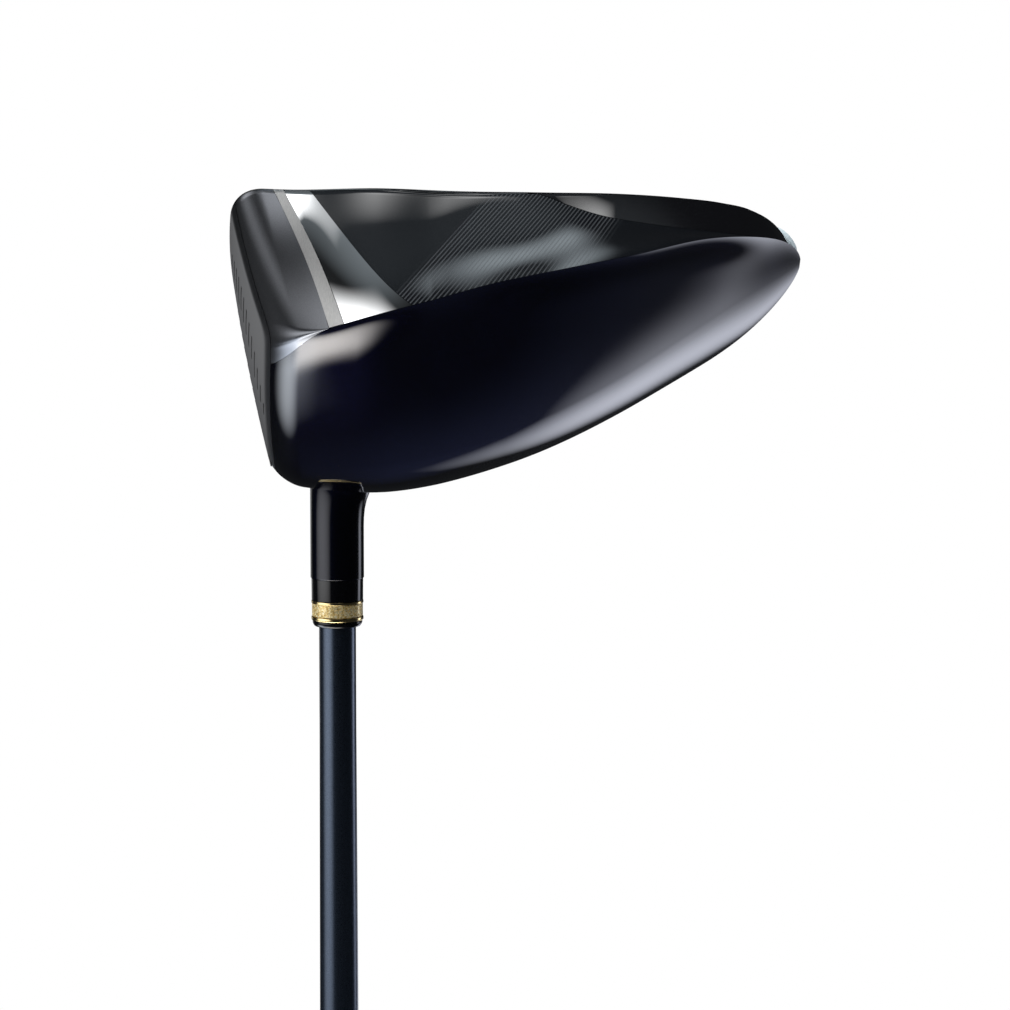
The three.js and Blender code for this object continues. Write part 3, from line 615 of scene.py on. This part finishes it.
def grip_rubber():
    """Black rubber with grooves crossing round the grip."""
    m = Shader("grip_rubber")
    m.set(Roughness=0.75)
    sep = m.node("ShaderNodeSeparateXYZ")
    m.link(m.coords.outputs["Object"], sep.inputs[0])
    turn = m.math("MULTIPLY", m.math("ARCTAN2", sep.outputs["Y"], sep.outputs["X"]), GROOVES)
    rise = m.math("MULTIPLY", sep.outputs["Z"], 2 * math.pi / (GROOVE_PITCH * MM))
    one_way = m.math("SINE", m.math("ADD", turn, rise))
    other_way = m.math("SINE", m.math("SUBTRACT", turn, rise))
    weave = m.math("MAXIMUM", one_way, other_way)
    speck = m.noise(5000, 3)
    groove = m.math("MULTIPLY", m.math("GREATER_THAN", weave, 0.8), -1.0)
    height = m.math("ADD", groove, m.math("MULTIPLY", speck, 0.35))
    tone = m.ramp(speck, [(0.3, (0.012, 0.012, 0.013)), (0.8, (0.03, 0.03, 0.032))])
    m.link(tone, m.bsdf.inputs["Base Color"])
    m.link(m.between(speck, 0.62, 0.85), m.bsdf.inputs["Roughness"])
    m.bump(height, 0.6, 0.0003)
    return m.material


LINES = lined_gloss()
PAINT = satin_metal("score_paint", (0.015, 0.015, 0.016), (0.04, 0.04, 0.042), 0.5, 0.65)


# ---------------------------------------------------------------- head skins
def ridge_gap(part, mm):
    """Girth share that keeps a side piece mm below the edge of the crown."""
    return lambda t: np.minimum(0.45, mm / skirt_length(t, part))


def sole_gap(part, mm):
    """Girth share that keeps a side piece mm above the edge of the sole."""
    return lambda t: np.maximum(0.55, 1 - mm / skirt_length(t, part))


def crease(mm):
    """Girth share mm below the crease between toe panel and rail."""
    return lambda t: profile(CREASE, t) + mm / skirt_length(t, "toe")


def shifted(line):
    """Line set a hair further back, to leave the joint open."""
    return line[0] - HAIR, line[1] - HAIR


def crown_share(t, mm):
    """Girth share of the crown at mm from its toe edge."""
    return np.arccos(np.clip(1 - mm / np.maximum(half_width(t), 0.5), -1, 1)) / np.pi


def crown_skin():
    """Lacquered top of the head, cut back along the toe where the face metal wraps over it."""
    t = (SEAM - HAIR + (TRAIL + 0.15 - SEAM + HAIR) * spread(260))[None, :]
    start = wrap_reach(t) + HAIR * smooth(t, WRAP_FROM - 2, WRAP_FROM + 2)
    share = np.linspace(0, 1, 220)[:, None]
    width = np.maximum(half_width(t), 0.5)
    s = np.arccos(np.clip(1 - (start + (2 * width - start) * share) / width, -1, 1)) / np.pi
    skin("crown", head_point(t + 0 * s, "crown", s), NAVY, edge=0.25, replaces=("crown_shell",), slot="crown")


def front_skin():
    """Satin metal between the face and the brushed strip, from its wrap on the crown down to the foot."""
    share = np.linspace(0, 1, 60)
    back = trim_line("toe", share, STRIP_FRONT)
    rows = spread(90)
    grid = []
    for x in spread(150):
        s = max(0.0, (x - WRAP_SHARE) / (1 - WRAP_SHARE))
        end = np.interp(s, share, back)
        t = SEAM - HAIR + (end - SEAM + HAIR) * rows
        length = skirt_length(t, "toe")
        top = wrap_reach(t)
        v = top + (-length + FOOT - top) * x
        grid.append(toe_path(t, v))
    skin("toe_front", np.array(grid), SATIN, replaces=("toe_return",), slot="face")


crown_skin()
front_skin()
patch("toe_brushed_strip", "toe", lambda w: trim_line("toe", w, shifted(STRIP_FRONT)),
      lambda w: trim_line("toe", w, STRIP_REAR), ridge_gap("toe", RIDGE), sole_gap("toe", FOOT),
      14, 90, BRUSHED, sink=-0.05, replaces=("toe_strip",), slot="strip")
patch("toe_mirror_inlay", "toe", lambda w: trim_line("toe", w, shifted(STRIP_REAR)),
      lambda w: trim_line("toe", w, INLAY_REAR, 0), ridge_gap("toe", RIDGE),
      sole_gap("toe", FOOT + TRIM + HAIR), 60, 90, CHROME, replaces=("toe_inlay",), slot="inlay")
patch("toe_lined_panel", "toe", lambda w: trim_line("toe", w, shifted(INLAY_REAR), 0), -91.5,
      ridge_gap("toe", RIDGE), lambda t: np.minimum(sole_gap("toe", FOOT + TRIM + HAIR)(t), crease(-0.1)(t)),
      220, 90, LINES, wall=0.35, replaces=("toe_panel",), slot="panel")
patch("toe_black_trim", "toe", lambda w: trim_line("toe", 0.97 + 0 * w, shifted(STRIP_REAR), 0), -43.5,
      sole_gap("toe", FOOT + TRIM), sole_gap("toe", FOOT), 90, 6, BLACK, sink=-0.08, edge=0.12,
      replaces=("toe_trim",), slot="trim")
patch("toe_rail_skin", "toe", -44.5, SKIN_END,
      lambda t: np.maximum(ridge_gap("toe", RIDGE)(t), crease(0.1)(t)), sole_gap("toe", FOOT),
      140, 50, BLACK, replaces=("toe_rail",), slot="rail")
patch("sole_skin", "sole", SEAM - HAIR, TRAIL + 0.6, 0.0, 1.0, 160, 90, BLACK, edge=0.25,
      replaces=("sole_plate",), slot="sole")
patch("heel_front", "heel", SEAM - HAIR, -30, ridge_gap("heel", RIDGE), sole_gap("heel", FOOT), 70, 70, SATIN,
      replaces=("heel_return",), slot="face")
patch("heel_skin", "heel", -30 - HAIR, SKIN_END, ridge_gap("heel", RIDGE), sole_gap("heel", FOOT),
      120, 60, BLACK, replaces=("heel_panel",), slot="panel")


def face_ring(t):
    """Closed ring of points round the front of the head at one station."""
    t = np.float64(t)
    reach = wrap_reach(t)
    start = float(crown_share(t, reach))
    crown_part = head_point(t, "crown", np.linspace(start, 1, 120, endpoint=False))
    heel = head_point(t, "heel", np.linspace(0, 1, 40, endpoint=False))
    sole = head_point(t, "sole", np.linspace(1, 0, 90, endpoint=False))
    length = float(skirt_length(t, "toe"))
    toe = toe_path(t, np.linspace(-length, float(reach), 70, endpoint=False))
    return np.concatenate([crown_part, heel, sole, toe])


def face_plate():
    """Striking face with its rim turned back round the head, as one closed plate."""
    rim = face_ring(LEAD)
    rings = []
    for f in np.concatenate([np.linspace(0.02, 0.96, 40), [0.985]]):
        u = FACE_U + (rim[:, 0] - FACE_U) * f
        h = FACE_H + (rim[:, 2] - FACE_H) * f
        rings.append(np.stack([u, face_station(u, h), h], -1))
    for depth in (0.0, 0.04, 0.12, 0.25, 0.45, 0.7, 1.0):
        rings.append(face_ring(LEAD - depth))
    back = np.array([0, -math.cos(LOFT), -math.sin(LOFT)])
    hub = np.array([FACE_U, 0, FACE_H])
    inner = []
    for ring in rings:
        toward = hub - ring
        toward[:, 1] = 0
        toward /= np.maximum(np.linalg.norm(toward, axis=1, keepdims=True), 1e-6)
        inner.append(ring + back * FACE_WALL + toward * FACE_RIM)
    n = len(rim)
    centre = np.array([[FACE_U, face_station(FACE_U, FACE_H), FACE_H]])
    verts = [centre] + rings + inner + [centre + back * FACE_WALL]
    faces = [(0, 1 + (j + 1) % n, 1 + j) for j in range(n)]
    total = len(rings)

    def start(k):
        return 1 + k * n

    for k in range(total - 1):
        a, b = start(k), start(k + 1)
        faces += [(a + j, a + (j + 1) % n, b + (j + 1) % n, b + j) for j in range(n)]
        a, b = start(total + k), start(total + k + 1)
        faces += [(a + j, b + j, b + (j + 1) % n, a + (j + 1) % n) for j in range(n)]
    a, b = start(total - 1), start(2 * total - 1)
    faces += [(a + j, a + (j + 1) % n, b + (j + 1) % n, b + j) for j in range(n)]
    last = start(2 * total)
    faces += [(last, start(total) + j, start(total) + (j + 1) % n) for j in range(n)]
    points = to_club(np.concatenate(verts))
    sharp_edges(new_object("striking_face", points, faces, SATIN, replaces=("face_cup",), slot="face"), 50)


def face_strip(name, u0, u1, h0, h1, proud, material):
    """Thin raised strip that follows the face."""
    u, h = np.meshgrid(np.linspace(u0, u1, 40), np.linspace(h0, h1, 5), indexing="ij")
    front = np.stack([u, face_station(u, h) + proud, h], -1)
    back = front - np.array([0, 0.25 + proud, 0])
    obj = slab(name, to_club(front), to_club(back), material, replaces=("face_cup",), slot="face")
    bevel(obj, 0.05, 1)


def score_lines():
    """Rows of short painted lines either side of the bare middle of the face."""
    for number in range(SCORE_ROWS):
        row = SCORE_LOW + SCORE_PITCH * number
        reach = 25.5 - 0.03 * (row - FACE_H) ** 2
        inner = 11.0 if abs(number - SCORE_ROWS // 2) > 2 else 14.0
        for side, label in ((-1, "heel"), (1, "toe")):
            ends = sorted((FACE_U + side * inner, FACE_U + side * reach))
            face_strip("score_%d_%s" % (number, label), *ends, row - 0.3, row + 0.3, 0.06, PAINT)


face_plate()
score_lines()


# ---------------------------------------------------------------- hosel and ferrule
def at(distance):
    """Height at a distance down the shaft from the ground plane."""
    return CLUB - distance


def lean_back(verts):
    """The flare grows mostly towards the back of the head."""
    heights = [at(d) for r, d in HOSEL_FLARE]
    radii = [r for r, d in HOSEL_FLARE]
    outer = np.interp(verts[:, 2], heights, radii, left=HOSEL_RADIUS, right=radii[-1])
    moved = verts.copy()
    moved[:, 0] += np.where(np.hypot(verts[:, 0], verts[:, 1]) > 5, outer - HOSEL_RADIUS, 0.0)
    return moved * MM


def hosel():
    """Neck of the head, which runs on inside it so that no gap shows."""
    neck = [(4.7, at(54.95)), (6.05, at(54.95)), (HOSEL_RADIUS, at(54.85)), (HOSEL_RADIUS, at(48))]
    flare = [(r, at(d)) for r, d in HOSEL_FLARE]
    hidden = [(9.3, at(28)), (8.8, at(24)), (8.0, at(20.5)), (4.7, at(20))]
    turned("hosel_neck", neck + flare + hidden, HOSEL, place=lean_back, replaces=("hosel",), slot="hosel")


def ferrule():
    """Black sleeve, gold rim, glittering band, gold rim and black collar, from the hosel down the shaft."""
    body = [(FERRULE_BORE, at(55.05)), (5.95, at(55.05)), (5.92, at(60.05)), (FERRULE_BORE, at(60.05))]
    turned("ferrule_black", rounded(body, 0.08), BLACK, replaces=("ferrule_body",), slot="ferrule")
    upper = [(FERRULE_BORE, at(60.1)), (6.0, at(60.1)), (6.0, at(60.85)), (FERRULE_BORE, at(60.85))]
    turned("ferrule_ring_upper", rounded(upper, 0.3), GOLD, replaces=("ferrule_rim_upper",), slot="gold")
    lower = [(FERRULE_BORE, at(63.75)), (6.0, at(63.75)), (6.0, at(64.75)), (FERRULE_BORE, at(64.75))]
    turned("ferrule_ring_lower", rounded(lower, 0.4), GOLD, replaces=("ferrule_rim_lower",), slot="gold")
    collar = [(FERRULE_BORE, at(64.8)), (5.75, at(64.8)), (5.7, at(65.4)), (5.3, at(66.1)),
              (FERRULE_BORE, at(66.3))]
    turned("ferrule_collar", rounded(collar, 0.25), BLACK, replaces=("ferrule_end",), slot="ferrule")
    band = [(FERRULE_BORE, at(60.9)), (5.86, at(60.9)), (5.86, at(63.7)), (FERRULE_BORE, at(63.7))]
    turned("ferrule_glitter", rounded(band, 0.05), glitter(), replaces=("ferrule_band",), slot="gold_glitter")


hosel()
ferrule()


# ---------------------------------------------------------------- shaft and grip
def shaft_radius(distance):
    return TIP + (BUTT - TIP) * np.clip((distance - TAPER_FROM) / (CLUB - SHAFT_END - TAPER_FROM), 0, 1)


def shaft():
    """Tapered tube from inside the hosel to inside the grip."""
    stops = (18.5, 60, 90, 150, 300, 500, 700, 900, 1000, 1100, 1157.6)
    outside = [(float(shaft_radius(d)), at(d)) for d in stops]
    bore = [(6.7, at(1157.6)), (6.4, at(900)), (2.6, at(60))]
    outline = [(2.6, at(18.5))] + outside + bore
    return turned("shaft_tube", outline, shaft_paint(), replaces=("shaft",), slot="shaft")


def grip():
    """Rubber sleeve that swells towards the butt, and its end cap."""
    rubber = grip_rubber()
    mouth = CLUB - GRIP_LENGTH
    outside = [(8.6, 0), (9.0, 0.8), (9.1, 2.5), (8.8, 4), (8.9, 20), (9.6, 80), (10.4, 140), (11.5, 200),
               (12.6, 245), (13.2, 258), (13.35, 263.8)]
    inside_mouth = (float(shaft_radius(mouth)) + GRIP_CLEARANCE, at(mouth))
    inside_butt = (float(shaft_radius(1157.8)) + GRIP_CLEARANCE, at(mouth + 263.8))
    outline = [inside_mouth] + [(r, at(mouth + d)) for r, d in outside] + [inside_butt]
    sleeve = turned("grip_rubber_sleeve", outline, rubber, replaces=("grip_sleeve",), slot="grip")
    end = [(1.1, 0), (11.4, 0), (12.2, 0.15), (12.8, 0.7), (13.2, 1.5), (13.35, 2.6), (13.35, 4.15),
           (6.3, 4.15), (6.3, 10), (1.1, 10)]
    cap = turned("grip_end_cap", end, rubber, replaces=("grip_cap",), slot="grip")
    return sleeve, cap


tube = shaft()
sleeve, cap = grip()

# in the photograph the shaft's reflection in the head is only faint; here it is left out
for piece in (tube, sleeve, cap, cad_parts["under_tape"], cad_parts["tip_plug"]):
    piece.visible_glossy = False

# ---------------------------------------------------------------- pieces carried over from the CAD
CAST = satin_metal("cast_metal", (0.3, 0.3, 0.31), (0.45, 0.45, 0.46), 0.4, 0.55, 2500)
PALE = satin_metal("pale_weight", (0.4, 0.48, 0.52), (0.52, 0.6, 0.64), 0.3, 0.4, metallic=0.0)
CORK = satin_metal("cork", (0.4, 0.33, 0.22), (0.62, 0.52, 0.36), 0.7, 0.8, 1500, metallic=0.0)
PAPER = satin_metal("paper_tape", (0.6, 0.55, 0.42), (0.75, 0.7, 0.56), 0.7, 0.8, 2500, metallic=0.0)
CARRIED_OVER = {"face_pad": CAST, "sole_rib_front": CAST, "sole_rib_rear": CAST, "crown_rib": CAST,
                "hosel_plug": CAST, "tip_plug": CORK, "under_tape": PAPER, "weight_port": PALE,
                "rear_weight": PALE, "weight_screw": CHROME}
for node, material in CARRIED_OVER.items():
    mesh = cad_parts[node].data
    mesh.materials.clear()
    mesh.materials.append(material)


# ---------------------------------------------------------------- stage, light, camera
def pale_floor():
    """Pale floor that doesn't show in reflections or cast shadows."""
    mesh = bpy.data.meshes.new("floor")
    half = FLOOR_SIZE / 2
    corners = [(-half, -half, 0), (half, -half, 0), (half, half, 0), (-half, half, 0)]
    mesh.from_pydata(corners, [], [(0, 1, 2, 3)])
    obj = bpy.data.objects.new("floor", mesh)
    bpy.context.scene.collection.objects.link(obj)
    m = Shader("floor_paint")
    m.set(Base_Color=(0.8, 0.8, 0.8), Roughness=0.9)
    mesh.materials.append(m.material)
    obj.visible_glossy = False
    obj.visible_shadow = False


def studio_world():
    """White behind the object, and next to nothing as light on it."""
    world = bpy.data.worlds.new("studio")
    world.use_nodes = True
    bpy.context.scene.world = world
    tree = world.node_tree
    tree.nodes.clear()
    out = tree.nodes.new("ShaderNodeOutputWorld")
    seen = tree.nodes.new("ShaderNodeBackground")
    seen.inputs["Color"].default_value = (1, 1, 1, 1)
    seen.inputs["Strength"].default_value = 1.0
    felt = tree.nodes.new("ShaderNodeBackground")
    felt.inputs["Color"].default_value = (0.9, 0.95, 1.0, 1)
    felt.inputs["Strength"].default_value = 0.015
    mix = tree.nodes.new("ShaderNodeMixShader")
    path = tree.nodes.new("ShaderNodeLightPath")
    tree.links.new(path.outputs["Is Camera Ray"], mix.inputs["Fac"])
    tree.links.new(felt.outputs[0], mix.inputs[1])
    tree.links.new(seen.outputs[0], mix.inputs[2])
    tree.links.new(mix.outputs[0], out.inputs["Surface"])


pale_floor()
studio_world()
bpy.context.scene.view_settings.view_transform = "Standard"
bpy.context.scene.view_settings.look = "None"

HEAD = Vector((0.038, -0.04, 1.165))


def softbox(name, direction, distance, size, power, colour=(1, 1, 1), fade=1.0):
    """Soft-edged panel that shines on the head from the given direction."""
    lamp = bpy.data.lights.new(name, "AREA")
    lamp.shape = "RECTANGLE"
    lamp.size, lamp.size_y = size
    lamp.energy = power
    lamp.color = colour
    lamp.use_nodes = True
    nodes, links = lamp.node_tree.nodes, lamp.node_tree.links

    def calc(operation, a, b):
        node = nodes.new("ShaderNodeMath")
        node.operation = operation
        for socket, value in zip(node.inputs, (a, b)):
            if isinstance(value, float):
                socket.default_value = value
            else:
                links.new(value, socket)
        return node.outputs[0]

    place = nodes.new("ShaderNodeNewGeometry")
    split = nodes.new("ShaderNodeSeparateXYZ")
    links.new(place.outputs["Parametric"], split.inputs[0])
    x, y = split.outputs[0], split.outputs[1]
    hump_x = calc("MULTIPLY", x, calc("SUBTRACT", 1.0, x))
    hump_y = calc("MULTIPLY", y, calc("SUBTRACT", 1.0, y))
    hump = calc("MULTIPLY", calc("MULTIPLY", hump_x, hump_y), 16.0)
    glow = next(n for n in nodes if n.type == "EMISSION")
    links.new(calc("POWER", hump, float(fade)), glow.inputs["Strength"])
    obj = bpy.data.objects.new(name, lamp)
    bpy.context.scene.collection.objects.link(obj)
    d = Vector(direction).normalized()
    obj.location = HEAD + d * distance
    obj.rotation_euler = (-d).to_track_quat("-Z", "Y").to_euler()
    obj.visible_camera = False
    return obj


# "below" and "left_low" are only seen reflected, and "room" only as soft light; the rest do both
LAVENDER = (0.84, 0.87, 1.0)
STEEL = (0.82, 0.93, 1.0)
softbox("rear_right_low", (0.33, 0.79, -0.5), 1.0, (0.44, 0.54), 1.5, LAVENDER, 1.4)
softbox("right", (0.86, 0.5, -0.1), 1.0, (0.4, 0.8), 2.4, LAVENDER, 1.0)
below = softbox("below", (-0.18, 0.02, -1.0), 1.5, (1.0, 1.5), 50.0, (1.0, 0.96, 0.9), 2.0)
below.visible_diffuse = False
softbox("below_blue", (0.2, 0.62, -0.76), 1.0, (0.8, 0.6), 0.15, (0.3, 0.38, 1.0), 1.2)
left_low = softbox("left_low", (-0.52, 0.25, -0.82), 1.0, (0.7, 0.9), 10.0, (0.86, 0.92, 1.0), 1.6)
left_low.visible_diffuse = False
softbox("left", (-0.9, -0.4, 0.03), 0.95, (1.4, 1.35), 13)
softbox("left_high", (-0.5, 0.43, 0.75), 0.95, (0.62, 0.44), 2.4, (1, 1, 1), 1.5)
softbox("face_glance", (-0.5, 0.86, -0.12), 1.0, (0.5, 0.35), 0.28)
softbox("rear_high", (-0.05, 0.77, 0.63), 1.0, (0.22, 0.34), 0.32, STEEL, 1.6)
softbox("overhead", (-0.04, 0.3, 0.953), 0.9, (0.24, 0.22), 0.8, (1, 1, 1), 1.1)
softbox("dome", (-0.03, 0.42, 0.9), 0.95, (0.5, 0.7), 0.2, STEEL, 1.4)

room = softbox("room", (0.0, -0.2, 1.0), 1.6, (4.0, 4.0), 150, (1, 1, 1), 0.5)
room.visible_glossy = False

CAMERA_DISTANCE = 1.05
PICTURE_WIDTH = 0.232024        # what the picture takes in at the shaft, metres
camera_data = bpy.data.cameras.new("camera")
camera_data.sensor_width = 36
camera_data.lens = camera_data.sensor_width * CAMERA_DISTANCE / PICTURE_WIDTH
camera_data.clip_end = 50
camera = bpy.data.objects.new("camera", camera_data)
bpy.context.scene.collection.objects.link(camera)
pitch = math.radians(7)
target = Vector((0.0386, 0, 1.1238))
camera.location = target - Vector((0, math.cos(pitch), -math.sin(pitch))) * CAMERA_DISTANCE
camera.rotation_euler = (math.radians(90) - pitch, 0, 0)
bpy.context.scene.camera = camera
